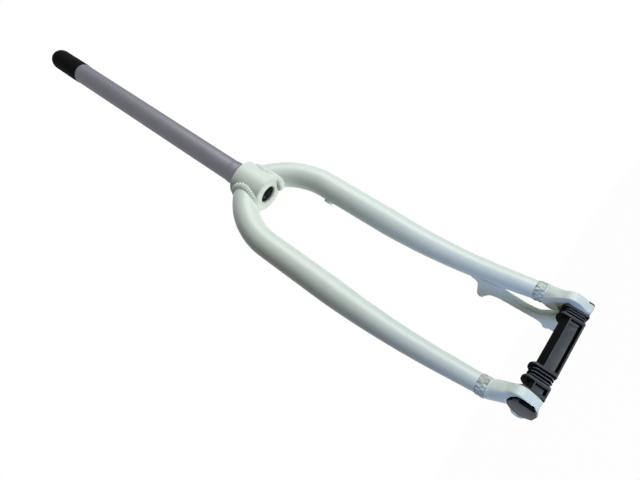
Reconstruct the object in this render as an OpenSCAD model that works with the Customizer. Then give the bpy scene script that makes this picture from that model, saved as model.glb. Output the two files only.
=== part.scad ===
// Rigid bicycle fork with curved, tapered blades, disc brake post mount and transport spacer.
// Origin on the steerer axis at the top of the crown. +X forward, +Y to the rider's left, +Z up.

/* [Overall] */
// Drop from the top of the crown to the front axle, along the steerer
axle_drop = 402; // [330:1:490]
// Rake: distance of the axle ahead of the steerer axis
rake = 48; // [35:1:60]
// Hub width between the inner faces of the dropouts
hub_w = 100; // [90:1:135]

/* [Steerer] */
// Length of the steerer above the crown
steerer_len = 345; // [180:1:420]
// Outside diameter of the steerer
steerer_d = 28.6; // [25.4:0.1:31.8]
// Bore of the steerer
steerer_bore = 23; // [18:0.1:24]
// Diameter of the headset race seat
race_d = 30; // [29.2:0.1:34]
// Height of the straight part of the race seat
race_h = 8; // [5:0.5:20]
// Radius of the concave flare under the race seat
flare_r = 7; // [2:0.5:7]
// Height of the slope from the race seat up to the steerer
race_slope = 5; // [1:0.5:12]

/* [Cap] */
// How far the cap reaches down over the steerer
cap_grip = 21; // [10:1:40]
// How far the cap stands out from the steerer. A race slides over it while it stays within the race seat.
cap_wall = 0.65; // [0.6:0.05:2.5]
// Straight height of the cap above the end of the steerer
cap_rise = 28.5; // [10:0.5:40]
// Gap between the cap and the steerer
cap_gap = 0.1; // [0.05:0.05:0.3]

/* [Crown] */
// Outside diameter of the crown
crown_d = 47; // [44:0.5:60]
// Height of the crown
crown_h = 44; // [40:0.5:60]
// Rounding of the crown's bottom edge
crown_round = 2.5; // [0.5:0.1:4]
// Chamfer of the crown's top edge
crown_chamfer = 0.6; // [0.2:0.1:1.5]
// Thickness of the shoulder that the steerer stands on
crown_lip = 3; // [2:0.5:6]
// Diameter of the mudguard bolt hole in the back of the crown
guard_hole_d = 5; // [4:0.1:6.5]
// Height of the mudguard bolt hole above the bottom of the crown
guard_hole_h = 9; // [7:0.5:20]

/* [Blades] */
// Outside diameter of a blade at the crown
blade_d = 31.8; // [26:0.1:34]
// Outside diameter of a blade at its lower end
tip_d = 19.8; // [16:0.1:24]
// Wall thickness of a blade
blade_wall = 2; // [1:0.1:3]
// Radius of the bend from the crown into the blade, on the blade's axis
bend_r = 86; // [60:1:120]
// How far below the crown's mid-height the blade's axis enters it
joint_low = 4.2; // [0:0.1:8]
// Outward splay of each blade
splay = 1; // [0:0.1:3]
// Angle by which the blade sweeps forward
sweep_angle = 18; // [10:0.5:25]
// Straight length of the blade below the sweep
tail_len = 36; // [20:1:80]
// Straight length of full diameter that runs on into the sweep's start
taper_delay = -6; // [-20:1:20]

/* [Dropouts] */
// Distance from the hub's end out to the middle of the blade's end
neck_out = 10.75; // [9:0.05:13]
// Distance of the axle ahead of the blade's end
drop_ahead = 15.4; // [8:0.1:20]
// Distance of the axle below the blade's end
drop_below = 40; // [32:0.5:50]
// Width of the axle slot
slot_w = 9; // [8.8:0.1:10.5]
// Thickness of the dropout from locknut seat to outer face
drop_t = 12; // [9:0.5:16]
// Thickness of the dropout left under the quick-release recess
seat_t = 6; // [4:0.5:8]
// Radius of the quick-release recess halfway up its wall
recess_r = 12.2; // [10:0.1:12.5]
// How much the recess's wall leans out above and in below that radius
recess_lean = 0.8; // [0:0.1:1]
// Radius of the locknut seat
locknut_r = 11.5; // [9:0.5:13]
// Height of the locknut seat above the dropout's inner face
locknut_h = 1.2; // [0.5:0.1:2]
// Width of the weld between the blade and the dropout
tip_weld_w = 10; // [5:0.5:12]
// Diameter of the mudguard eyelet hole
eyelet_d = 5; // [4:0.1:6]
// Diameter of the drain hole in the dropout's neck
drain_d = 4; // [2:0.1:5]

/* [Disc brake mount] */
// Distance between the two brake mounting holes
post_gap = 74.2; // [70:0.1:80]
// Distance from the axle back to the plane of the post faces
post_reach = 48.5; // [44:0.5:56]
// Height of the lower hole above the axle, along the post plane
post_low = 21; // [16:0.5:26]
// Backward tilt of the post plane
post_tilt = 12.4; // [8:0.1:16]
// Diameter of each post
post_d = 11; // [10:0.5:13]
// Tapping size of the post holes
post_hole_d = 5; // [4.5:0.1:5.5]
// Depth of the post holes
post_hole_depth = 15; // [10:1:18]
// How far the mount's inner face stands in from the hub's end
mount_in = 2; // [0:0.1:4]
// Thickness of the mount's web
web_t = 7; // [5:0.5:10]

/* [Hose guide] */
// Diameter of the hose guide boss
guide_d = 12; // [9:0.5:14]
// Height of the boss above the blade
guide_h = 2.8; // [1.5:0.1:5]
// Depth of the boss below the top of the crown
guide_drop = 107; // [100:1:160]
// Diameter of the boss's screw hole
guide_hole_d = 4.2; // [3:0.1:5]

/* [Transport spacer] */
// Radius of the spacer's flanges
flange_r = 13.8; // [11:0.1:14.5]
// Flat on the underside of the flanges, below the axle
flange_flat = 12.2; // [9:0.1:13]
// Thickness of a flange
flange_t = 2.6; // [1.5:0.1:4]
// Radius of the spacer's middle beam behind and above
beam_r = 9; // [8:0.1:11.5]
// Distance from the axle to the beam's flat front face
beam_front = 8.8; // [7:0.1:11]
// Radius of the caps on the outside of the dropouts
cap_r = 13.7; // [11:0.1:14.5]
// Thickness of those caps
cap_t = 3.4; // [1.5:0.1:5]
// Radius of the thin ribs
rib_r = 11.6; // [9:0.1:12]
// Thickness of a rib
rib_t = 1.5; // [1:0.1:2.5]
// Gap between the spacer and the dropouts
spacer_gap = 0.15; // [0.05:0.05:0.5]

/* [Hidden] */
$fn = 96;

paint = [0.86, 0.89, 0.87];
bare_metal = [0.52, 0.52, 0.56];
black = [0.09, 0.09, 0.10];

// A little more than touching, so that cuts pass through
over = 1;
crown_r = crown_d / 2;
blade_r = blade_d / 2;
tip_r = tip_d / 2;

// Blade axis. It bends in the YZ plane, then sweeps forward about the sweep radius.
tip_x = rake - drop_ahead;
tip_z = drop_below - axle_drop;
neck_y = hub_w / 2 + neck_out;
sweep_r = (tip_x - tail_len * sin(sweep_angle)) / (1 - cos(sweep_angle));
sweep_down = sweep_r * sin(sweep_angle) + tail_len * cos(sweep_angle);
joint_z = -crown_h / 2 - joint_low;

// The bend's centre depends on where the straight blade starts, which depends on the splay
function straight_y(z) = neck_y - (z - tip_z) * tan(splay);
bend_y_guess = straight_y(joint_z - bend_r) - bend_r;
bend_z = joint_z - sqrt(bend_r * bend_r - pow(crown_r - bend_y_guess, 2));
bend_end_z = bend_z + bend_r * sin(splay);
bend_y = straight_y(bend_end_z) - bend_r * cos(splay);
straight_len = (bend_end_z - tip_z) / cos(splay) - sweep_down;
down = [0, sin(splay), -cos(splay)];
bend_end = [0, straight_y(bend_end_z), bend_end_z];
sweep_start = bend_end + straight_len * down;

// Lengths along the axis from the end of the bend
sweep_len = sweep_r * sweep_angle * PI / 180;
blade_end_s = straight_len + sweep_len + tail_len;
taper_s = straight_len + taper_delay;

// Weld bead on the crown: width on each skin, depth over the corner, and its ripples
bead_w = 3.3;
bead_h = 3.7;
ripples = 33;
ripple_steps = 3;
ripple_h = 0.6;
weld_gap = 0.03;

// How far the bead can follow the rounding of the crown's bottom edge
edge_reach = crown_round * 1.3;

// Numbers of rings and sides that keep the blade's curves smooth
blade_sides = 36;
bend_rings = 14;
sweep_rings = 12;

// Point of the bend at an angle from vertical, and the angle where the axis is inside the crown
function bend_point(a) = [0, bend_y + bend_r * sin(a), bend_z + bend_r * cos(a)];
bend_from = asin((crown_r * 0.4 - bend_y) / bend_r);
bend_to = 90 - splay;

// A station is [centre, first cross axis, second cross axis, distance past the bend]
function bend_station(a) =
    [bend_point(a), [1, 0, 0], [0, -sin(a), -cos(a)], -(bend_to - a) * bend_r * PI / 180];
function sweep_station(a, tail = 0) =
    let (ahead = [cos(a), 0, 0] - sin(a) * down, along = cos(a) * down + [sin(a), 0, 0])
    [sweep_start + sweep_r * (sin(a) * down + (1 - cos(a)) * [1, 0, 0]) + tail * along,
     ahead, cross(down, [1, 0, 0]), straight_len + sweep_r * a * PI / 180 + tail];
blade_stations = concat(
    [for (i = [0 : bend_rings]) bend_station(bend_from + (bend_to - bend_from) * i / bend_rings)],
    [for (i = [0 : sweep_rings]) sweep_station(sweep_angle * i / sweep_rings)],
    [sweep_station(sweep_angle, tail_len)]);

// Outside radius at a distance past the bend
function blade_radius(s) =
    s < taper_s ? blade_r : blade_r - (blade_r - tip_r) * (s - taper_s) / (blade_end_s - taper_s);

function ring(station, r, sides) =
    [for (i = [0 : sides - 1])
        station[0] + r * (cos(360 * i / sides) * station[1] + sin(360 * i / sides) * station[2])];

// Rings of one skin, joined to the next ring along
function skin(first, rings, sides, flip) =
    [for (k = [0 : rings - 2], i = [0 : sides - 1])
        let (a = first + k * sides + i, b = first + k * sides + (i + 1) % sides, f = flip ? sides : 0)
        [a + f, b + f, b + sides - f, a + sides - f]];

// Flat ring between the outer and inner skins at one end
function end_faces(outer, inner, sides, flip) =
    [for (i = [0 : sides - 1])
        let (j = (i + 1) % sides)
        flip ? [outer + j, outer + i, inner + i, inner + j] : [outer + i, outer + j, inner + j, inner + i]];

// Hollow tube through the stations
module sweep_tube(stations, wall, sides) {
    rings = len(stations);
    outer = [for (s = stations) each ring(s, blade_radius(s[3]), sides)];
    inner = [for (s = stations) each ring(s, blade_radius(s[3]) - wall, sides)];
    size = rings * sides;
    polyhedron(
        points = concat(outer, inner),
        faces = concat(
            skin(0, rings, sides, true),
            skin(size, rings, sides, false),
            end_faces(0, size, sides, true),
            end_faces(size - sides, 2 * size - sides, sides, false)));
}

// Solid bar through the stations, thicker than the blade by extra
module sweep_bar(stations, extra, sides) {
    rings = len(stations);
    size = rings * sides;
    polyhedron(
        points = [for (s = stations) each ring(s, blade_radius(s[3]) + extra, sides)],
        faces = concat(
            skin(0, rings, sides, true),
            [[for (i = [0 : sides - 1]) i]],
            [[for (i = [sides - 1 : -1 : 0]) size - sides + i]]));
}

// Draws its children on the given side, which is 1 for left and -1 for right
module on_side(side) {
    if (side > 0) children();
    else mirror([0, 1, 0]) children();
}

// Turns +Z to the given direction
module aim(direction) {
    rotate([0, acos(direction[2] / norm(direction)), atan2(direction[1], direction[0])]) children();
}

// Outline with each corner [x, y, radius] rounded
function corner(p, q, r) =
    let (v1 = p - [q[0], q[1]], v2 = r - [q[0], q[1]], u1 = v1 / norm(v1), u2 = v2 / norm(v2),
         half = acos(u1 * u2) / 2, cut = q[2] / tan(half), mid = (u1 + u2) / norm(u1 + u2),
         centre = [q[0], q[1]] + mid * q[2] / sin(half), a = [q[0], q[1]] + u1 * cut - centre,
         b = [q[0], q[1]] + u2 * cut - centre, start = atan2(a[1], a[0]),
         turn0 = atan2(b[1], b[0]) - start, turn = turn0 > 180 ? turn0 - 360 : turn0 < -180 ? turn0 + 360 : turn0,
         steps = max(2, ceil(abs(turn) / 12)))
    q[2] == 0 ? [[q[0], q[1]]] :
        [for (i = [0 : steps]) centre + q[2] * [cos(start + turn * i / steps), sin(start + turn * i / steps)]];
function flat(p) = [p[0], p[1]];
function rounded(points) =
    let (n = len(points))
    [for (i = [0 : n - 1]) each corner(flat(points[(i + n - 1) % n]), points[i], flat(points[(i + 1) % n]))];

// Two discs and the strip that touches both, as a flat outline
module link(p, rp, q, rq) {
    gap = norm(q - p);
    heading = atan2(q[1] - p[1], q[0] - p[0]);
    lean = acos((rp - rq) / gap);
    function rim(c, r, a) = c + r * [cos(a), sin(a)];
    translate(p) circle(rp);
    translate(q) circle(rq);
    polygon([p, rim(p, rp, heading + lean), rim(q, rq, heading + lean), q,
        rim(q, rq, heading - lean), rim(p, rp, heading - lean)]);
}

// Slab between two heights of Y from an outline drawn in X and Z
module slab(y_from, y_to) {
    translate([0, y_to, 0]) rotate([90, 0, 0]) linear_extrude(y_to - y_from) children();
}

module steerer() {
    foot = -crown_h + crown_lip;
    flare_top = flare_r;
    race_top = flare_top + race_h;
    color(bare_metal)
    difference() {
        union() {
            translate([0, 0, foot]) cylinder(d = steerer_d, h = steerer_len - foot);
            rotate_extrude() difference() {
                polygon([[0, 0], [race_d / 2 + flare_r, 0], [race_d / 2 + flare_r, 0.4],
                    [race_d / 2, flare_top + 0.4], [race_d / 2, race_top],
                    [steerer_d / 2, race_top + race_slope], [0, race_top + race_slope]]);
                translate([race_d / 2 + flare_r, flare_top + 0.4]) circle(flare_r);
            }
        }
        translate([0, 0, foot - over]) cylinder(d = steerer_bore, h = steerer_len - foot + 2 * over);
        guard_hole();
    }
}

// Hole for a mudguard bolt through the back of the crown and of the steerer
module guard_hole() {
    translate([0, 0, guard_hole_h - crown_h]) rotate([0, -90, 0]) cylinder(d = guard_hole_d, h = crown_d);
}

module steerer_cap() {
    inner_r = steerer_d / 2 + cap_gap;
    bulge_r = steerer_d / 2 + cap_wall;
    waist_r = bulge_r - 0.15;
    rim_r = bulge_r - 0.1;
    rim_z = steerer_len - cap_grip;
    dome_z = steerer_len + cap_rise;
    color(black)
    difference() {
        union() {
            rotate_extrude() polygon([[0, rim_z], [rim_r, rim_z], [bulge_r, rim_z + 7], [bulge_r, steerer_len + 2],
                [waist_r, steerer_len + 7], [waist_r, dome_z], [0, dome_z]]);
            translate([0, 0, dome_z]) sphere(waist_r);
        }
        translate([0, 0, rim_z - over]) cylinder(r = inner_r, h = cap_grip + over + 0.1);
        translate([0, 0, steerer_len]) cylinder(r = waist_r - cap_wall, h = cap_rise);
        translate([0, 0, dome_z]) sphere(waist_r - cap_wall);
    }
}

// Crown before it is bored
module crown_form() {
    rotate_extrude() union() {
        polygon([[0, -crown_h], [crown_r - crown_round, -crown_h], [crown_r - crown_round, -crown_h + crown_round],
            [crown_r, -crown_h + crown_round], [crown_r, -crown_chamfer], [crown_r - crown_chamfer, 0], [0, 0]]);
        translate([crown_r - crown_round, -crown_h + crown_round]) circle(crown_round);
    }
}

module crown() {
    color(paint)
    difference() {
        crown_form();
        translate([0, 0, -crown_h + crown_lip]) cylinder(d = steerer_d, h = crown_h);
        translate([0, 0, -crown_h - over]) cylinder(d = steerer_bore, h = crown_h);
        translate([0, 0, -crown_h]) cylinder(d1 = steerer_bore + 2.4, d2 = steerer_bore, h = 1.2);
        guard_hole();
    }
}

module blade(side) {
    color(paint)
    on_side(side) difference() {
        sweep_tube(blade_stations, blade_wall, blade_sides);
        translate([0, 0, -crown_h - 20]) cylinder(r = crown_r, h = crown_h + 40);
        if (side > 0) guide_screw_hole();
    }
}

// Where the blade grown by b meets the crown grown by c, at an angle around the blade
function seam_point(angle, b, c) =
    let (x = (blade_r + b) * cos(angle), y = sqrt(pow(crown_r + c, 2) - x * x),
         reach = bend_r - (blade_r + b) * sin(angle))
    [x, y, bend_z + reach * cos(asin((y - bend_y) / reach))];

// Turn around the crown's bottom edge that a point of the seam needs if it lies too low
function edge_turn(p) =
    let (low = max(0, crown_round - crown_h - p[2]))
    edge_reach / crown_round * (1 - exp(-low / edge_reach)) * 180 / PI;

// Point of the crown's skin at a distance from the blade
function crown_side(angle, away) =
    let (p = seam_point(angle, away, 0), turn = edge_turn(p), grown = crown_round + weld_gap,
         r = (crown_r - crown_round + grown * cos(turn)) / crown_r)
    [p[0] * r, p[1] * r, turn > 0 ? crown_round - crown_h - grown * sin(turn) : p[2]];

// Point of the blade's skin at a distance from the crown
function blade_side(angle, away) = seam_point(angle, weld_gap, away);

// Direction out of the corner between the crown and the blade
function corner_out(angle) =
    let (p = seam_point(angle, 0, 0), turn = edge_turn(p),
         a = asin((p[1] - bend_y) / (bend_r - blade_r * sin(angle))),
         sum = [p[0] * cos(turn) / crown_r, p[1] * cos(turn) / crown_r, -sin(turn)]
             + [cos(angle), -sin(a) * sin(angle), -cos(a) * sin(angle)])
    sum / norm(sum);

// Depth of the bead over the corner. It thins where the crown's edge leaves the blade's end open.
function bead_depth(angle, ripple) =
    bead_h - 0.45 * norm(crown_side(angle, 0.3) - blade_side(angle, weld_gap)) - ripple;

// One section of the bead: over the crown, out along the blade, then back over the rounded top
function bead_section(angle, ripple) =
    let (out = corner_out(angle) * bead_depth(angle, ripple), w = bead_w)
    concat(
        [for (away = [w, 0.67 * w, 0.36 * w, 0.1 * w]) crown_side(angle, away)],
        [for (away = [weld_gap, 0.5 * w, w]) blade_side(angle, away)],
        [for (away = [0.8 * w, 0.53 * w, 0.26 * w, weld_gap]) blade_side(angle, away) + (1 - 0.85 * away / w) * out],
        [for (away = [0.26 * w, 0.53 * w, 0.8 * w]) crown_side(angle, away) + (1 - 0.85 * away / w) * out]);

// Rippled weld bead around the joint, as one closed ring of sections
module crown_weld(side) {
    sections = ripples * ripple_steps;
    points = [for (i = [0 : sections - 1])
        each bead_section(360 * i / sections, ripple_h * (i % ripple_steps) / (ripple_steps - 1))];
    per = len(points) / sections;
    color(paint)
    on_side(side) polyhedron(points = points, faces = [for (i = [0 : sections - 1], k = [0 : per - 1])
        let (j = (i + 1) % sections, m = (k + 1) % per)
        each [[i * per + k, j * per + k, j * per + m], [i * per + k, j * per + m, i * per + m]]]);
}

weld_proud = 0.4;
coped_rings = 8;
tip = [tip_x, neck_y, tip_z];
tip_along = cos(sweep_angle) * down + [sin(sweep_angle), 0, 0];
module at_tip() {
    translate(tip) aim(tip_along) children();
}

// Ring of weld between the blade's end and the dropout's shoulder
module tip_weld(side) {
    color(paint)
    on_side(side) at_tip() rotate_extrude() difference() {
        union() {
            translate([0, 0]) square([tip_r - 0.3, tip_weld_w]);
            translate([tip_r - tip_weld_w, tip_weld_w / 2]) intersection() {
                circle(tip_weld_w + weld_proud);
                translate([0, -tip_weld_w / 2]) square([2 * tip_weld_w, tip_weld_w]);
            }
        }
        translate([-tip_weld_w, -over]) square([tip_r - blade_wall + tip_weld_w, tip_weld_w + 2 * over]);
    }
}

axle = [rake, -axle_drop];
outer_y = hub_w / 2 + drop_t;
face_y = hub_w / 2 + locknut_h;

// Outline of the dropout, from the axle: shoulder above it, prong in front of the slot, eyelet behind
shoulder = axle + [2.6, 6.5];
shoulder_r = 13.2;
prong = axle + [7.2, -8];
prong_r = 3.4;
back_side = axle + [-5, 1];
back_r = 12;
ear = axle + [-23, -2];
ear_r = 6.5;
neck_h = 16;
plug_h = 12;

// Forged end, drawn on the left
module dropout_form() {
    neck_flat = [tip_x, tip_z] + (tip_weld_w + tip_r) * [sin(sweep_angle), -cos(sweep_angle)];
    difference() {
        union() {
            at_tip() translate([0, 0, tip_weld_w]) cylinder(r = tip_r + 0.3, h = neck_h);
            at_tip() translate([0, 0, -plug_h])
                cylinder(r = tip_r - blade_wall - 0.05, h = plug_h + tip_weld_w + over);
            slab(face_y, outer_y) {
                link(neck_flat, tip_r, shoulder, shoulder_r);
                link(shoulder, shoulder_r, prong, prong_r);
                link(back_side, back_r, ear, ear_r);
            }
            slab(hub_w / 2, face_y + over) translate(axle) circle(locknut_r);
        }
        slab(hub_w / 2 - over, outer_y + over) {
            translate(axle) circle(d = slot_w);
            translate(axle + [-slot_w / 2, -shoulder_r]) square([slot_w, shoulder_r]);
            translate(ear) circle(d = eyelet_d);
        }
        translate([rake, hub_w / 2 + seat_t, -axle_drop]) rotate([-90, 0, 0])
            cylinder(r1 = recess_r - recess_lean, r2 = recess_r + recess_lean, h = drop_t - seat_t + 0.01);
        neck_scoop();
        translate([rake - 4, hub_w / 2 - over, 24.4 - axle_drop]) rotate([-90, 0, 0]) cylinder(d = drain_d, h = 9);
    }
}

// Quarter-round scoop that takes the neck's outer side down to the flat outer face
module neck_scoop() {
    scoop_r = 8.5;
    depth = 20;
    scoop_z = tip_z - tip_weld_w - scoop_r - 1;
    translate([tip_x - 20, outer_y, scoop_z - 60]) cube([60, depth, 60]);
    translate([tip_x - 20, outer_y + scoop_r, scoop_z]) rotate([0, 90, 0]) cylinder(r = scoop_r, h = 60);
    translate([tip_x - 20, outer_y + scoop_r, scoop_z - over]) cube([60, depth, scoop_r + over]);
}

// Post mount frame: origin at the axle, X forward and Z up along the post plane
module at_posts() {
    translate([rake, 0, -axle_drop]) rotate([0, -post_tilt, 0]) children();
}

mount_y = hub_w / 2 - mount_in;
post_y = mount_y + post_d / 2;
high_post = post_low + post_gap;

// Two posts and the web that carries them, before the blade is coped out
module mount_form() {
    post_back = 5 - post_reach;
    web_back = 8 - post_reach;
    post_len = 14;
    at_posts() {
        difference() {
            slab(mount_y, mount_y + web_t) difference() {
                polygon(rounded([[-11, 60, 0], [-13, high_post + 13, 0], [-18, high_post + 13, 3],
                    [-21, high_post + 4.5, 7], [post_back, high_post + 4.5, 0], [post_back, high_post - 5, 0],
                    [4.5 + web_back, high_post - 11, 4], [6.5 + web_back, 75, 8], [web_back, post_low + 6, 12],
                    [post_back, post_low + 4, 2], [post_back - 4, post_low - 12, 4],
                    [-30, 0, 6], [-12, -3, 0], [0, 14, 0], [0, 45, 0]]));
                polygon(rounded([[4, 77, 0], [-13, 84, 1], [-21, 70, 8], [-27, 46, 8], [-27, 32, 8],
                    [-18, 21, 10], [-12, 12, 4], [4, 22, 0]]));
            }
            slab(mount_y - over, face_y) circle(flange_r + 1.5);
        }
        for (z = [post_low, high_post])
            translate([-post_reach, post_y, z]) rotate([0, 90, 0]) cylinder(d = post_d, h = post_len);
    }
}

module post_holes() {
    at_posts() for (z = [post_low, post_low + post_gap])
        translate([-post_reach - over, post_y, z]) rotate([0, 90, 0])
            cylinder(d = post_hole_d, h = post_hole_depth + over);
}

module dropout(side) {
    color(paint)
    on_side(side) dropout_form();
}

// Left forged end with the disc brake mount, which is coped to the blade and to the weld
module left_dropout() {
    rings = len(blade_stations);
    color(paint)
    difference() {
        union() {
            dropout_form();
            difference() {
                mount_form();
                sweep_bar([for (i = [rings - coped_rings : rings - 1]) blade_stations[i]], 0, blade_sides);
                at_tip() translate([0, 0, -0.02]) cylinder(r = tip_r + weld_proud, h = tip_weld_w);
            }
        }
        post_holes();
        slab(mount_y - over, mount_y + web_t + over) translate(ear) circle(d = eyelet_d);
    }
}

// Boss on the inner rear side of the left blade, which takes the screw of a brake hose clip
guide_heading = [-0.5, -0.866, 0];
module at_guide() {
    translate([0, straight_y(-guide_drop), -guide_drop]) aim(guide_heading) children();
}

module guide_screw_hole() {
    at_guide() translate([0, 0, blade_r - blade_wall - over]) cylinder(d = guide_hole_d, h = blade_wall + guide_h + 2 * over);
}

module hose_guide() {
    color(paint)
    difference() {
        at_guide() cylinder(d = guide_d, h = blade_r + guide_h);
        translate([0, straight_y(-guide_drop + 20), -guide_drop + 20]) aim(down) cylinder(r = blade_r, h = 40);
        guide_screw_hole();
    }
}

// Black spacer from one dropout's outer face to the other's, drawn about the axle
module spacer() {
    half = hub_w / 2 - spacer_gap;
    outside = outer_y + spacer_gap;
    left_beam = half - 10.8;
    right_beam = 27 - half;
    right_mid = 12.8 - half;
    color(black)
    translate([rake, 0, -axle_drop]) {
        slab(-outside - over, outside + over) circle(slot_w / 2 - spacer_gap);
        for (y = [-half, right_mid - flange_t / 2, right_beam - flange_t / 2, left_beam - flange_t / 2, half - flange_t])
            slab(y, y + flange_t) flange(flange_r);
        for (side = [-1, 1]) mirror([0, (1 - side) / 2, 0]) slab(outside, outside + cap_t) flange(cap_r);
        beam(right_beam, left_beam);
        for (y = [right_mid + 2.6, right_mid + 6.1, right_mid + 9.6, left_beam + 3.2, left_beam + 6.1])
            slab(y, y + rib_t) flange(rib_r);
        slab(over - half, half - over) translate([-7, 1 - flange_flat]) square([14, 14]);
        slab(over - half, right_mid) translate([0, 1 - flange_flat]) square([beam_front, 14]);
    }
}

// Middle beam: flat in front and below, with a sunk panel in its front face
module beam(y_from, y_to) {
    panel_depth = 1.2;
    bottom = 1.4 - flange_flat;
    difference() {
        slab(y_from, y_to) difference() {
            union() {
                circle(beam_r);
                translate([0, bottom]) square([beam_front, beam_r - bottom - 4]);
            }
            translate([-2 * beam_r, bottom - 20]) square([4 * beam_r, 20]);
            translate([beam_front, -beam_r]) square([beam_r, 2 * beam_r]);
        }
        slab(y_from + 4, y_to - 6) translate([beam_front - panel_depth, bottom + 2.2]) square([beam_r, 11]);
        slab(y_from - over, y_to + over) translate([1, bottom - over]) square([1.8, 2 + over]);
    }
}

// Disc with a flat underside
module flange(r) {
    intersection() {
        circle(r);
        translate([-r, -flange_flat]) square([2 * r, r + flange_flat]);
    }
}

steerer();
steerer_cap();
crown();
blade(1);  // left_blade
blade(-1);  // right_blade
crown_weld(1);  // left_crown_weld
crown_weld(-1);  // right_crown_weld
tip_weld(1);  // left_tip_weld
tip_weld(-1);  // right_tip_weld
left_dropout();
dropout(-1);  // right_dropout
hose_guide();
spacer();
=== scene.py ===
"""Looks of a rigid bicycle fork: painted blades and crown, bare steerer, black cap and spacer."""
import math

import bmesh
import bpy
from mathutils import Matrix, Vector

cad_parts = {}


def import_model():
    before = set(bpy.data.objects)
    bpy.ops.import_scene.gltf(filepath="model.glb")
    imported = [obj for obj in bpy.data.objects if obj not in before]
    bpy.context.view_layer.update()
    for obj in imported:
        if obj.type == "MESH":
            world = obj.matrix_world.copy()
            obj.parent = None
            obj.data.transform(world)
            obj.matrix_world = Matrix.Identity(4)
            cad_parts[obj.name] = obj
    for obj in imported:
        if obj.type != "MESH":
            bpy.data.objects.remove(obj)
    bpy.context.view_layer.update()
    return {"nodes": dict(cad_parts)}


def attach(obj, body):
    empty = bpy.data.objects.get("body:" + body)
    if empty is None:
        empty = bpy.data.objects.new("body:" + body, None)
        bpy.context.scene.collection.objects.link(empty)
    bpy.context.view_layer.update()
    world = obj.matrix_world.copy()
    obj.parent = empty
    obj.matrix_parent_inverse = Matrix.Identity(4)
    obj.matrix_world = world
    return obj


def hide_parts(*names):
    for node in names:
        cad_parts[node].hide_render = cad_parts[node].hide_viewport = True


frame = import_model()

MM = 0.001
ALONG_Y = (math.pi / 2, 0, 0)


# Sizes of the CAD, in millimetres

AXLE_DROP = 402.0
RAKE = 48.0
HUB_HALF = 50.0
AXLE = Vector((RAKE, 0, -AXLE_DROP))
CROWN_R = 23.5
CROWN_H = 44.0
BLADE_R = 15.9
TIP_R = 9.9
BEND_R = 86.0
SPLAY = math.radians(1)
SWEEP = math.radians(18)
TAIL = 36.0
TAPER_LEAD = 6.0
TIP = Vector((RAKE - 15.4, HUB_HALF + 10.75, 40.0 - AXLE_DROP))
JOINT_Z = -CROWN_H / 2 - 4.2
WELD_W = 10.0


# Shader building

class Value:
    """A number that varies over a surface. Its operators add Math nodes."""

    def __init__(self, look, socket):
        self.look = look
        self.socket = socket

    def math(self, operation, *values):
        return self.look.node("ShaderNodeMath", {"operation": operation}, *values)

    def __add__(self, other):
        return self.math("ADD", self, other)

    def __sub__(self, other):
        return self.math("SUBTRACT", self, other)

    def __mul__(self, other):
        return self.math("MULTIPLY", self, other)

    def __truediv__(self, other):
        return self.math("DIVIDE", self, other)

    def __rsub__(self, other):
        return self.math("SUBTRACT", other, self)

    def __rtruediv__(self, other):
        return self.math("DIVIDE", other, self)

    __radd__ = __add__
    __rmul__ = __mul__

    def clamp(self):
        return self.look.node("ShaderNodeClamp", {}, self)


class Look:
    """A material, or the world, whose nodes are made one call at a time."""

    def __init__(self, name, owner=None):
        self.owner = owner or bpy.data.materials.new(name)
        self.owner.use_nodes = True
        self.tree = self.owner.node_tree
        self.tree.nodes.clear()

    def node(self, kind, settings, *inputs, out=0, **named):
        """Adds a node. Settings come first, then the values or links of its sockets."""
        made = self.tree.nodes.new(kind)
        for key, setting in settings.items():
            setattr(made, key, setting)
        for key, value in [*enumerate(inputs), *named.items()]:
            socket = made.inputs[key if isinstance(key, int) else key.replace("_", " ")]
            if isinstance(value, Value):
                self.tree.links.new(value.socket, socket)
            elif value is not None:
                socket.default_value = value
        return Value(self, made.outputs[out]) if made.outputs else None

    def noise(self, scale, detail=3.0, stretch=(1, 1, 1)):
        """Noise on the object's own coordinates, in features per metre."""
        place = self.node("ShaderNodeTexCoord", {}, out="Object")
        place = self.node("ShaderNodeMapping", {}, Vector=place, Scale=stretch)
        return self.node("ShaderNodeTexNoise", {}, Vector=place, Scale=scale, Detail=detail)

    def spots(self, scale, detail, gain, cut, stretch=(1, 1, 1)):
        """Noise sharpened into spots: 0 between them and up to 1 inside."""
        return (self.noise(scale, detail, stretch) * gain - cut).clamp()

    def mix(self, mask, one, two):
        """One colour where the mask is 0 and the other where it is 1."""
        unused = [None] * 5
        return self.node("ShaderNodeMix", {"data_type": "RGBA"}, mask, *unused, one, two, out=2)

    def bump(self, height, strength, distance):
        return self.node("ShaderNodeBump", {}, Strength=strength, Distance=distance, Height=height)

    def surface(self, colour, roughness, normal, **constants):
        made = self.node("ShaderNodeBsdfPrincipled", {}, Base_Color=colour, Roughness=roughness,
                         Normal=normal, **constants)
        self.node("ShaderNodeOutputMaterial", {}, made)
        return self.owner


def satin_paint():
    """Off-white paint with a faint mint tint, fine orange peel and a trace of dust."""
    look = Look("satin_paint")
    dust = look.spots(55, 6, 2.2, 1.05) * 0.15
    colour = look.mix(look.noise(14, 4), (0.665, 0.775, 0.73, 1), (0.70, 0.795, 0.755, 1))
    colour = look.mix(dust, colour, (0.53, 0.55, 0.49, 1))
    roughness = look.noise(120) * 0.10 + 0.36
    peel = look.bump(look.noise(700, 2), 0.06, 0.0002)
    return look.surface(colour, roughness, peel, IOR=1.45, Coat_Weight=0.15, Coat_Roughness=0.3)


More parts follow.
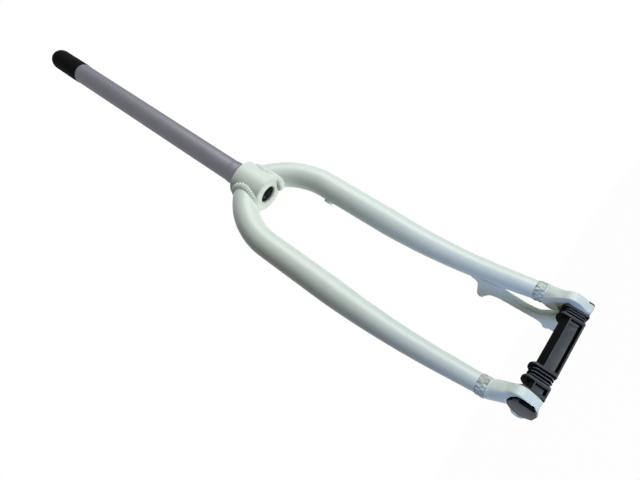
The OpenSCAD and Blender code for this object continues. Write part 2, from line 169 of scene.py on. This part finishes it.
def weld_paint():
    """Paint over rough weld, darker than the blades' paint, with grey mottled spots."""
    look = Look("weld_paint")
    grey_mottle = look.spots(260, 4, 4, 1.7, (1, 1, 0.6))
    colour = look.mix(grey_mottle, (0.60, 0.69, 0.65, 1), (0.27, 0.28, 0.26, 1))
    roughness = look.noise(120) * 0.15 + 0.40
    return look.surface(colour, roughness, look.bump(look.noise(700, 2), 0.15, 0.0002), IOR=1.45)


def bare_metal():
    """Bare drawn tube, brushed dull: grey with a cold tint, fine lines along it and blotches."""
    look = Look("bare_metal")
    lines = look.noise(900, 4, (1, 1, 0.04))
    blotches = look.noise(26, 5)
    specks = look.spots(420, 2, 6, 3.9) * 0.5
    colour = look.mix(blotches, (0.145, 0.147, 0.169, 1), (0.19, 0.195, 0.222, 1))
    colour = look.mix(specks, colour, (0.10, 0.092, 0.10, 1))
    roughness = lines * 0.14 + blotches * 0.10 + 0.44
    return look.surface(colour, roughness, look.bump(lines, 0.10, 0.0001), Metallic=0.85)


def moulded_plastic():
    """Dark plastic with a fine moulded grain and pale scuffs."""
    look = Look("moulded_plastic")
    colour = look.mix(look.spots(70, 8, 3, 1.6), (0.035, 0.042, 0.048, 1), (0.085, 0.098, 0.11, 1))
    roughness = look.noise(90, 4) * 0.18 + 0.40
    grain = look.bump(look.noise(2600), 0.18, 0.0001)
    return look.surface(colour, roughness, grain, Specular_IOR_Level=0.3)


def black_cap_and_painted_shade():
    """Dull black of the pulled-on cap; on the spacer's smooth sides, back, top, slots and cap fronts it is
    painted shade.
    """
    look = Look("black_cap_and_painted_shade")
    colour = look.mix(look.spots(40, 6, 2.4, 1.3), (0.005, 0.006, 0.006, 1), (0.013, 0.014, 0.015, 1))
    roughness = look.noise(150) * 0.2 + 0.5
    return look.surface(colour, roughness, look.bump(look.noise(1800), 0.12, 0.0001), Specular_IOR_Level=0.02)


PAINT = satin_paint()
WELD = weld_paint()
METAL = bare_metal()
PLASTIC = moulded_plastic()
BLACK_AND_PAINTED_SHADE = black_cap_and_painted_shade()
FINISHES = {"steerer": METAL, "steerer_cap": BLACK_AND_PAINTED_SHADE, "spacer": PLASTIC}

for name, node in frame["nodes"].items():
    node.data.materials.clear()
    node.data.materials.append(FINISHES.get(name, PAINT))


# Modelling helpers. Lengths are in millimetres.

def alone(piece):
    """Leaves one piece selected and active, in object mode."""
    if bpy.context.mode != "OBJECT":
        bpy.ops.object.mode_set(mode="OBJECT")
    bpy.ops.object.select_all(action="DESELECT")
    piece.select_set(True)
    bpy.context.view_layer.objects.active = piece


LENGTHS = ("radius", "depth", "size", "major_radius", "minor_radius")


def primitive(kind, name, place=(0, 0, 0), turn=(0, 0, 0), **sizes):
    """Adds a primitive whose place, turn and scale are then put into its mesh."""
    bpy.ops.object.select_all(action="DESELECT")
    sizes = {key: size * MM if key in LENGTHS else size for key, size in sizes.items()}
    getattr(bpy.ops.mesh, f"primitive_{kind}_add")(location=Vector(place) * MM, rotation=turn, **sizes)
    piece = bpy.context.object
    piece.name = name
    bpy.ops.object.transform_apply(location=True, rotation=True, scale=True)
    return piece


def box(name, low, high):
    low, high = Vector(low), Vector(high)
    return primitive("cube", name, (low + high) / 2, size=1, scale=high - low)


def edit(piece):
    alone(piece)
    bpy.ops.object.mode_set(mode="EDIT")
    bpy.ops.mesh.select_mode(type="FACE")
    bpy.ops.mesh.select_all(action="SELECT")


def pick(piece, test):
    """Selects the faces whose centre in millimetres and normal pass the test."""
    bpy.ops.mesh.select_all(action="DESELECT")
    form = bmesh.from_edit_mesh(piece.data)
    for face in form.faces:
        if test(face.calc_center_median() / MM, face.normal):
            face.select_set(True)
    bmesh.update_edit_mesh(piece.data)


def paint_shade_black(piece):
    """Gives the selected faces the dull black, as painted shade."""
    if piece.data.materials.find(BLACK_AND_PAINTED_SHADE.name) < 0:
        piece.data.materials.append(BLACK_AND_PAINTED_SHADE)
    piece.active_material_index = piece.data.materials.find(BLACK_AND_PAINTED_SHADE.name)
    bpy.ops.object.material_slot_assign()


def slice_at(place, normal, clear=False):
    """Cuts all faces by a plane, and takes away the side that the normal points to if asked."""
    bpy.ops.mesh.select_all(action="SELECT")
    bpy.ops.mesh.bisect(plane_co=Vector(place) * MM, plane_no=normal, use_fill=clear, clear_outer=clear)


def extrude(move):
    bpy.ops.mesh.extrude_region_move(TRANSFORM_OT_translate={"value": Vector(move) * MM})


def swing(angle, axis, centre):
    """Turns the selection by the right hand rule. With no window the operator turns the other way."""
    bpy.ops.transform.rotate(value=-angle, orient_axis=axis, center_override=Vector(centre) * MM)


def scale_about(factor, centre):
    bpy.ops.transform.resize(value=(factor, factor, factor), center_override=Vector(centre) * MM)


def modify(piece, kind, **settings):
    alone(piece)
    modifier = piece.modifiers.new(kind.lower(), kind)
    for key, setting in settings.items():
        setattr(modifier, key, setting)
    bpy.ops.object.modifier_apply(modifier=modifier.name)


def cut(piece, cutter):
    modify(piece, "BOOLEAN", operation="DIFFERENCE", solver="EXACT", object=cutter)
    bpy.data.objects.remove(cutter)


def soften_corners(piece, width, segments):
    modify(piece, "BEVEL", width=width * MM, segments=segments, limit_method="ANGLE",
           angle_limit=math.radians(40))


def fuse(piece, voxel, passes):
    """Makes one skin of overlapping bodies, then smooths it."""
    modify(piece, "REMESH", mode="VOXEL", voxel_size=voxel * MM)
    modify(piece, "SMOOTH", factor=0.5, iterations=passes)


def copy_of(piece, name):
    made = piece.copy()
    made.data = piece.data.copy()
    made.name = name
    bpy.context.scene.collection.objects.link(made)
    return made


def moved(piece, shift):
    made = copy_of(piece, piece.name)
    made.data.transform(Matrix.Translation(Vector(shift) * MM))
    return made


def join(name, pieces):
    alone(pieces[0])
    for piece in pieces:
        piece.select_set(True)
    bpy.ops.object.join()
    pieces[0].name = name
    return pieces[0]


def outward(piece, merge=0.001):
    """Merges points that coincide and turns all faces outward."""
    edit(piece)
    bpy.ops.mesh.remove_doubles(threshold=merge * MM)
    bpy.ops.mesh.normals_make_consistent(inside=False)
    bpy.ops.object.mode_set(mode="OBJECT")


def flip_side(piece):
    """Mirrors the piece to the other side of the fork."""
    alone(piece)
    piece.scale.y = -1
    bpy.ops.object.transform_apply(location=False, rotation=False, scale=True)
    outward(piece)


def stand(piece, place, direction):
    """Turns what was made along Z to a direction and moves it to its place."""
    turn = direction.to_track_quat("Z", "Y").to_matrix().to_4x4()
    piece.data.transform(Matrix.Translation(place * MM) @ turn)


def finish(piece, material, node, crease=35):
    """Smooths the shading, gives one material where one is named, and hands the piece over."""
    alone(piece)
    bpy.ops.object.shade_smooth_by_angle(angle=math.radians(crease))
    if material:
        piece.data.materials.clear()
        piece.data.materials.append(material)
    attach(piece, "root")
    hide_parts(node)


def finish_pair(left, right_name, material, node, crease=35):
    """Finishes a left piece and its twin on the right."""
    right = copy_of(left, right_name)
    flip_side(right)
    finish(left, material, f"left_{node}", crease)
    finish(right, material, f"right_{node}", crease)


# Blades

def straight_y(z):
    """Where the straight part of the left blade stands at a height."""
    return TIP.y - (z - TIP.z) * math.tan(SPLAY)


BEND_Y_GUESS = straight_y(JOINT_Z - BEND_R) - BEND_R
BEND_Z = JOINT_Z - math.sqrt(BEND_R ** 2 - (CROWN_R - BEND_Y_GUESS) ** 2)
BEND_END_Z = BEND_Z + BEND_R * math.sin(SPLAY)
BEND_Y = straight_y(BEND_END_Z) - BEND_R * math.cos(SPLAY)
SWEEP_R = (TIP.x - TAIL * math.sin(SWEEP)) / (1 - math.cos(SWEEP))
STRAIGHT = (BEND_END_Z - TIP.z) / math.cos(SPLAY) - SWEEP_R * math.sin(SWEEP) - TAIL * math.cos(SWEEP)
DOWN = Vector((0, math.sin(SPLAY), -math.cos(SPLAY)))
AHEAD = Vector((1, 0, 0))
TIP_ALONG = math.cos(SWEEP) * DOWN + math.sin(SWEEP) * AHEAD


def left_blade():
    """One tube, bent out of the crown, straight, then swept forward while it tapers to the tip."""
    steps = 26
    start = math.radians(24)
    in_crown = 0.3
    bend_centre = Vector((0, -BEND_R, 0))
    tube = primitive("circle", "left_blade_tube", bend_centre + Vector((0, 0, BEND_R)), ALONG_Y,
                     vertices=72, radius=BLADE_R, fill_type="NGON")
    edit(tube)
    swing(-start, "X", bend_centre)
    for _ in range(steps):
        extrude((0, 0, 0))
        swing(-(math.pi / 2 - start) / steps, "X", bend_centre)
    extrude((0, 0, TAPER_LEAD - STRAIGHT))
    extrude((0, 0, -TAPER_LEAD))

    def narrow(radius, along, centre):
        """Scales the end ring to the taper's radius at a length past the start of the sweep."""
        share = (along + TAPER_LEAD) / (SWEEP_R * SWEEP + TAIL + TAPER_LEAD)
        smaller = BLADE_R - (BLADE_R - TIP_R) * share
        scale_about(smaller / radius, centre)
        return smaller

    sweep_centre = Vector((SWEEP_R, 0, -STRAIGHT))
    radius = narrow(BLADE_R, 0, (0, 0, -STRAIGHT))
    for k in range(1, steps + 1):
        extrude((0, 0, 0))
        swing(-SWEEP / steps, "Y", sweep_centre)
        angle = SWEEP * k / steps
        centre = sweep_centre + SWEEP_R * Vector((-math.cos(angle), 0, -math.sin(angle)))
        radius = narrow(radius, SWEEP_R * angle, centre)
    heading = Vector((math.sin(SWEEP), 0, -math.cos(SWEEP)))
    extrude(TAIL * heading)
    narrow(radius, SWEEP_R * SWEEP + TAIL, centre + TAIL * heading)
    bpy.ops.object.mode_set(mode="OBJECT")
    tube.rotation_euler.x = SPLAY
    tube.location = Vector((0, straight_y(BEND_END_Z), BEND_END_Z)) * MM
    bpy.ops.object.transform_apply(location=True, rotation=True, scale=True)
    outward(tube)
    cut(tube, primitive("cylinder", "cutter", (0, 0, -CROWN_H / 2 - 10), vertices=128,
                        radius=CROWN_R - in_crown, depth=CROWN_H + 40))
    outward(tube)
    return tube


# Weld beads

BEAD_VOXEL = 0.36


def weld_drop(segments, rings, sizes):
    """One drop of weld, long across the run and flat."""
    drop = primitive("uv_sphere", "drop", segments=segments, ring_count=rings, radius=1)
    drop.data.transform(Matrix.Diagonal((*sizes, 1)))
    return drop


def bead_of(name, drop, places):
    """Copies a drop of weld to each place, which is (centre, along, across, out), as one bead."""
    drops = []
    for k, (centre, along, across, out) in enumerate(places):
        made = copy_of(drop, f"{name}_{k}")
        axes = Matrix((along, across, out)).transposed().to_4x4()
        made.data.transform(Matrix.Translation(centre * MM) @ axes)
        drops.append(made)
    bpy.data.objects.remove(drop)
    weld = join(name, drops)
    fuse(weld, BEAD_VOXEL, 1)
    return weld


def seam_point(angle, off_blade, off_crown):
    """Where the blade grown by one size meets the crown grown by another."""
    x = (BLADE_R + off_blade) * math.cos(angle)
    y = math.sqrt((CROWN_R + off_crown) ** 2 - x * x)
    reach = BEND_R - (BLADE_R + off_blade) * math.sin(angle)
    z = BEND_Z + reach * math.cos(math.asin((y - BEND_Y) / reach))
    return Vector((x, y, z))


def crown_seam(count):
    """Evenly spaced places along the seam between the left blade and the crown."""
    points = 720
    off_metal = 0.2
    fine = [seam_point(math.tau * k / points, off_metal, off_metal) for k in range(points + 1)]
    run = [0.0]
    for a, b in zip(fine, fine[1:]):
        run.append(run[-1] + (b - a).length)
    places = []
    k = 0
    for n in range(count):
        while run[k + 1] < run[-1] * n / count:
            k += 1
        angle = math.tau * k / points
        point = fine[k].copy()
        along = (fine[k + 1] - fine[(k or points) - 1]).normalized()
        lean = math.asin((point.y - BEND_Y) / (BEND_R - BLADE_R * math.sin(angle)))
        from_blade = Vector((math.cos(angle), -math.sin(lean) * math.sin(angle),
                             -math.cos(lean) * math.sin(angle)))
        from_crown = Vector((point.x, point.y, 0)).normalized()
        out = (from_blade + from_crown).normalized()
        out = (out - out.dot(along) * along).normalized()
        # Under the crown the drops grow and rise, to close the corner below its face.
        below = max(0, 2 - CROWN_H - point.z)
        point += below * Vector((0, -0.08, 0.5))
        size = 1 + 0.09 * below
        places.append((point + out * 0.1, size * along, size * out.cross(along), size * out))
    return places


def left_crown_weld():
    drop = weld_drop(20, 12, (2.5, 4.7, 2.9))
    edit(drop)
    swing(math.radians(30), "Y", (0, 0, 0))
    bpy.ops.object.mode_set(mode="OBJECT")
    return bead_of("left_crown_bead", drop, crown_seam(34))


def left_tip_weld():
    """Two runs of drops side by side around the tip, on a core that fills the gap."""
    drop = weld_drop(16, 10, (2.0, 3.5, 1.75))
    count = 16
    sunk = 0.85
    front = Vector((0, 1, 0)).cross(TIP_ALONG).normalized()
    side = TIP_ALONG.cross(front)
    places = []
    for row in (3.0, 7.2):
        for n in range(count):
            turn = math.tau * (n + row / 8) / count
            out = math.cos(turn) * front + math.sin(turn) * side
            around = math.cos(turn) * side - math.sin(turn) * front
            places.append((TIP + row * TIP_ALONG + out * (TIP_R - sunk), around, out.cross(around), out))
    core = primitive("cylinder", "core", vertices=64, radius=TIP_R - 0.5, depth=WELD_W)
    stand(core, TIP + WELD_W / 2 * TIP_ALONG, TIP_ALONG)
    weld = join("left_tip_bead", [bead_of("left_tip_bead", drop, places), core])
    fuse(weld, BEAD_VOXEL, 4)
    return weld


# Dropouts, forged: the CAD's form with a tapered neck, remeshed so that its edges are rounded

NECK = TIP + (WELD_W + 0.6) * TIP_ALONG
RECESS = Vector((1.2, 0, 3.0))
RECESS_R = 11.7
RECESS_FLOOR = HUB_HALF + 7.5
RECESS_REACH = 10


def neck_taper():
    """Hull from the round neck down to the flat plate above the axle."""
    taper = primitive("cylinder", "taper", vertices=48, radius=TIP_R, depth=1.2)
    stand(taper, NECK, TIP_ALONG)
    foot = primitive("cylinder", "foot", AXLE + Vector((2.2, HUB_HALF + 6, 8.5)), ALONG_Y,
                     vertices=48, radius=10.5, depth=10.4)
    taper = join("taper", [taper, foot])
    edit(taper)
    bpy.ops.mesh.convex_hull()
    bpy.ops.object.mode_set(mode="OBJECT")
    return taper


def neck_ridge():
    """Rounded step where the forging starts below the weld."""
    ridge = primitive("torus", "ridge", major_segments=72, minor_segments=12,
                      major_radius=TIP_R + 0.1, minor_radius=0.75)
    stand(ridge, NECK - 0.2 * TIP_ALONG, TIP_ALONG)
    return ridge


def forged(node, name, side):
    """Forging made from a CAD dropout. Side is 1 on the left and -1 on the right."""
    form = bpy.data.objects.new(name, frame["nodes"][node].data.copy())
    bpy.context.scene.collection.objects.link(form)
    outward(form)
    taper = neck_taper()
    ridge = neck_ridge()
    if side < 0:
        flip_side(taper)
        flip_side(ridge)
    recess = AXLE + RECESS + Vector((0, side * (RECESS_FLOOR + RECESS_REACH / 2), 0))
    for part in (form, taper):
        cut(part, primitive("cylinder", "cutter", recess, ALONG_Y, vertices=64, radius=RECESS_R,
                            depth=RECESS_REACH))
    form = join(name, [form, taper])
    fuse(form, 0.6, 14)
    modify(form, "DECIMATE", ratio=0.45)
    return join(name, [form, ridge])


# Spacer that stands in for the wheel. Its lengths are Y, and its fronts and heights are about the axle.

FLANGE_R = 13.8
FLANGE_W = 2.6
FLANGE_LOW = -11.4
FLANGE_FRONT = 9.5
RIB_W = 1.4
BEAM_FRONT = 8.8
BEAM_LOW = -11.0
BLOCK_TOP = 3.2
BEAM_ENDS = (-21.6, 37.8)
BLOCK_ENDS = (-47.3, -38.3)
PANEL_TOP = 2.2
PANEL_DEPTH = 0.55
SLOT_W = 2.0
SLOT_LOW = -9.5
SLOT_HIGH = -6.6
SLOT_DEPTH = 6.5
INSIDE = 49.85
OUTSIDE = 62.15


def disc(name, y, thick, radius, low=FLANGE_LOW, front=FLANGE_FRONT, edge=0.4):
    """Disc across the axle with a flat front, a flat underside and a chamfer behind that."""
    piece = primitive("cylinder", name, AXLE + Vector((0, y + thick / 2, 0)), ALONG_Y,
                      vertices=96, radius=radius, depth=thick)
    edit(piece)
    slice_at(AXLE + Vector((front, 0, 0)), (1, 0, 0), clear=True)
    slice_at(AXLE + Vector((0, 0, low)), (0, 0, -1), clear=True)
    slice_at(AXLE + Vector((-6.5, 0, low)), (-0.7, 0, -0.72), clear=True)
    bpy.ops.object.mode_set(mode="OBJECT")
    soften_corners(piece, edge, 3)
    return piece


def block(name, ends, step):
    """Flat-fronted body between two flanges, with an L-shaped slot beside its panel."""
    near, far = ends[0] + 1.2, ends[1] - 0.9
    corner = far - SLOT_W
    panel_end = corner - step
    face = RAKE + BEAM_FRONT
    piece = box(name, AXLE + Vector((0, ends[0], BEAM_LOW)), AXLE + Vector((BEAM_FRONT, ends[1], BLOCK_TOP)))
    piece.data.materials.append(PLASTIC)
    edit(piece)
    for z in (SLOT_LOW, SLOT_HIGH, PANEL_TOP):
        slice_at(AXLE + Vector((0, 0, z)), (0, 0, 1))
    for y in (near, corner, far, panel_end):
        slice_at((0, y, 0), (0, 1, 0))
    pick(piece, lambda at, out: out.x > 0.9 and near < at.y < far
         and (SLOT_LOW < at.z - AXLE.z < SLOT_HIGH
              or SLOT_HIGH < at.z - AXLE.z < PANEL_TOP and at.y > corner))
    extrude((-SLOT_DEPTH, 0, 0))
    # The slot's faces get the dull black: painted shade inside the slot.
    pick(piece, lambda at, out: RAKE + 1 < at.x < face - 0.1 and near - 0.1 < at.y < far + 0.1
         and SLOT_LOW - 0.01 < at.z - AXLE.z < PANEL_TOP + 0.01)
    paint_shade_black(piece)
    pick(piece, lambda at, out: out.x > 0.9 and at.x > face - 0.01 and near < at.y < panel_end
         and SLOT_HIGH < at.z - AXLE.z < PANEL_TOP)
    extrude((-PANEL_DEPTH, 0, 0))
    bpy.ops.object.mode_set(mode="OBJECT")
    soften_corners(piece, 0.22, 2)
    outward(piece, 0.03)
    return piece


def block_back(name, ends, radius):
    """Round back and top of a block, that leave room for its slot."""
    length = ends[1] - ends[0]
    back = disc(name, ends[0], length, radius, BEAM_LOW + 0.3, 1.5, 0.5)
    top = disc(name, ends[0], length, radius, BLOCK_TOP - 0.5, 20, 0.3)
    # The back and top are dull black all over: painted shade on the sides that face away from the light.
    for part in (back, top):
        part.data.materials.append(BLACK_AND_PAINTED_SHADE)
    return join(name, [back, top])


def copies_at(piece, *places):
    """The piece with copies of it further along the axle. The first place is the piece's own."""
    return [piece] + [moved(piece, (0, y - places[0], 0)) for y in places[1:]]


def spacer():
    parts = copies_at(disc("flange", -INSIDE, FLANGE_W, FLANGE_R), -INSIDE, -38.35, -24.15, 37.75,
                      INSIDE - FLANGE_W)
    rib = disc("rib", -34.45, RIB_W, 11.6, BEAM_LOW, FLANGE_FRONT - 0.4, 0.3)
    parts += copies_at(rib, -34.45, -30.95, -27.45, 42.1, 44.9)
    parts += [disc("left_cap", OUTSIDE, 3.2, 12.4, -12, 8.2, 0.7)]
    parts += [disc("right_cap", -OUTSIDE - 3.4, 3.4, 13.7, -12, 11.4, 0.5)]
    # A dark disc on the floor of each dropout's recess: painted shade in the recess.
    for side in (1, -1):
        parts.append(primitive("cylinder", "seat", AXLE + RECESS + Vector((0, side * (RECESS_FLOOR + 0.7), 0)),
                               ALONG_Y, vertices=64, radius=RECESS_R - 0.3, depth=2.2))
    parts.append(primitive("cylinder", "rod", AXLE, ALONG_Y, vertices=48, radius=4.3, depth=2 * OUTSIDE + 3))
    parts.append(box("core", AXLE + Vector((-7, -INSIDE + 1, BEAM_LOW + 0.4)),
                     AXLE + Vector((1.5, INSIDE - 1, 3))))
    parts += [block("beam", BEAM_ENDS, 3.4), block("end_block", BLOCK_ENDS, 0.6)]
    parts += [block_back("beam_back", BEAM_ENDS, 9.0), block_back("end_back", BLOCK_ENDS, 8.6)]
    for part in parts:
        if not part.data.materials:
            part.data.materials.append(PLASTIC)
    whole = join("axle_spacer", parts)
    edit(whole)
    # Faces that don't face forward, and the fronts of the end caps, get the dull black: painted shade.
    pick(whole, lambda at, out: out.x < 0.5 and abs(at.y) < OUTSIDE + 2.5
         or out.x > 0.9 and abs(at.y) > OUTSIDE)
    paint_shade_black(whole)
    bpy.ops.object.mode_set(mode="OBJECT")
    return whole


# Camera, floor and light

def camera():
    """Place, angle and lens are those of the photograph, solved from the fork's known sizes."""
    right = Vector((-0.0112, 0.6164, -0.7873)).normalized()
    back = Vector((0.8544, -0.4032, -0.3278)).normalized()
    up = back.cross(right).normalized()
    right = up.cross(back)
    lens = bpy.data.cameras.new("camera")
    lens.lens = 27.78
    lens.sensor_width = 36
    lens.clip_start = 0.01
    eye = bpy.data.objects.new("camera", lens)
    turned = Matrix((right, up, back)).transposed().to_4x4()
    turned.translation = (0.497827, -0.247865, -0.326676)
    eye.matrix_world = turned
    bpy.context.scene.collection.objects.link(eye)
    bpy.context.scene.camera = eye


def seen_white(look):
    """1 where the camera or a reflection looks, and 0 for the light that falls on the object."""
    rays = [look.node("ShaderNodeLightPath", {}, out=f"Is {kind} Ray")
            for kind in ("Camera", "Glossy", "Transmission")]
    return (rays[0] + rays[1] + rays[2]).clamp()


def floor():
    """Pale floor that keeps a little of the object's shadow."""
    bpy.ops.object.select_all(action="DESELECT")
    bpy.ops.mesh.primitive_plane_add(size=12, location=(0, 0, -0.95))
    plane = bpy.context.object
    plane.name = "floor"
    look = Look("pale_floor")
    matt = look.node("ShaderNodeBsdfDiffuse", {}, (0.55, 0.51, 0.46, 1))
    white = look.node("ShaderNodeEmission", {}, (1, 1, 1, 1), 1.0)
    mixed = look.node("ShaderNodeMixShader", {}, seen_white(look) * 0.985, matt, white)
    look.node("ShaderNodeOutputMaterial", {}, mixed)
    plane.data.materials.append(look.owner)


def world():
    sky = bpy.data.worlds.new("studio")
    bpy.context.scene.world = sky
    look = Look("studio", sky)
    soft = look.node("ShaderNodeBackground", {}, (1.0, 0.95, 0.88, 1), 0.07)
    white = look.node("ShaderNodeBackground", {}, (1, 1, 1, 1), 1.0)
    mixed = look.node("ShaderNodeMixShader", {}, seen_white(look), soft, white)
    look.node("ShaderNodeOutputWorld", {}, mixed)


def lamp(name, place, target, size, watts, colour, cone=None):
    """A square lamp, or a soft spot where a cone is given."""
    light = bpy.data.lights.new(name, "SPOT" if cone else "AREA")
    if cone:
        light.shadow_soft_size = size
        light.spot_size = cone
        light.spot_blend = 1
    else:
        light.size = size
    light.energy = watts
    light.color = colour
    made = bpy.data.objects.new(name, light)
    made.location = place
    made.rotation_euler = (Vector(target) - Vector(place)).to_track_quat("-Z", "Y").to_euler()
    bpy.context.scene.collection.objects.link(made)


finish_pair(left_blade(), "right_blade_tube", PAINT, "blade")
finish_pair(left_crown_weld(), "right_crown_bead", PAINT, "crown_weld", crease=60)
finish_pair(left_tip_weld(), "right_tip_bead", WELD, "tip_weld", crease=60)
finish(forged("left_dropout", "left_dropout_forging", 1), PAINT, "left_dropout", crease=70)
finish(forged("right_dropout", "right_dropout_forging", -1), PAINT, "right_dropout", crease=70)
finish(spacer(), None, "spacer")

camera()
floor()
world()
lamp("key", (1.45, 1.02, 0.3), (0, 0, -0.1), 1.3, 30, (1.0, 1.0, 0.985))
lamp("below", (-0.35, 0.15, -0.9), (0, 0, -0.1), 0.5, 6.5, (1.0, 0.96, 0.86))
lamp("crown_fill", (0.3, -0.02, -0.92), (-0.005, 0, -0.04), 0.1, 24, (0.97, 1.0, 0.98), math.radians(9))
lamp("blue_fill", (0.34, -0.40, -0.72), (0.04, 0, -0.39), 0.12, 14, (0.44, 0.58, 1.0), math.radians(26))
bpy.context.scene.view_settings.view_transform = "Standard"
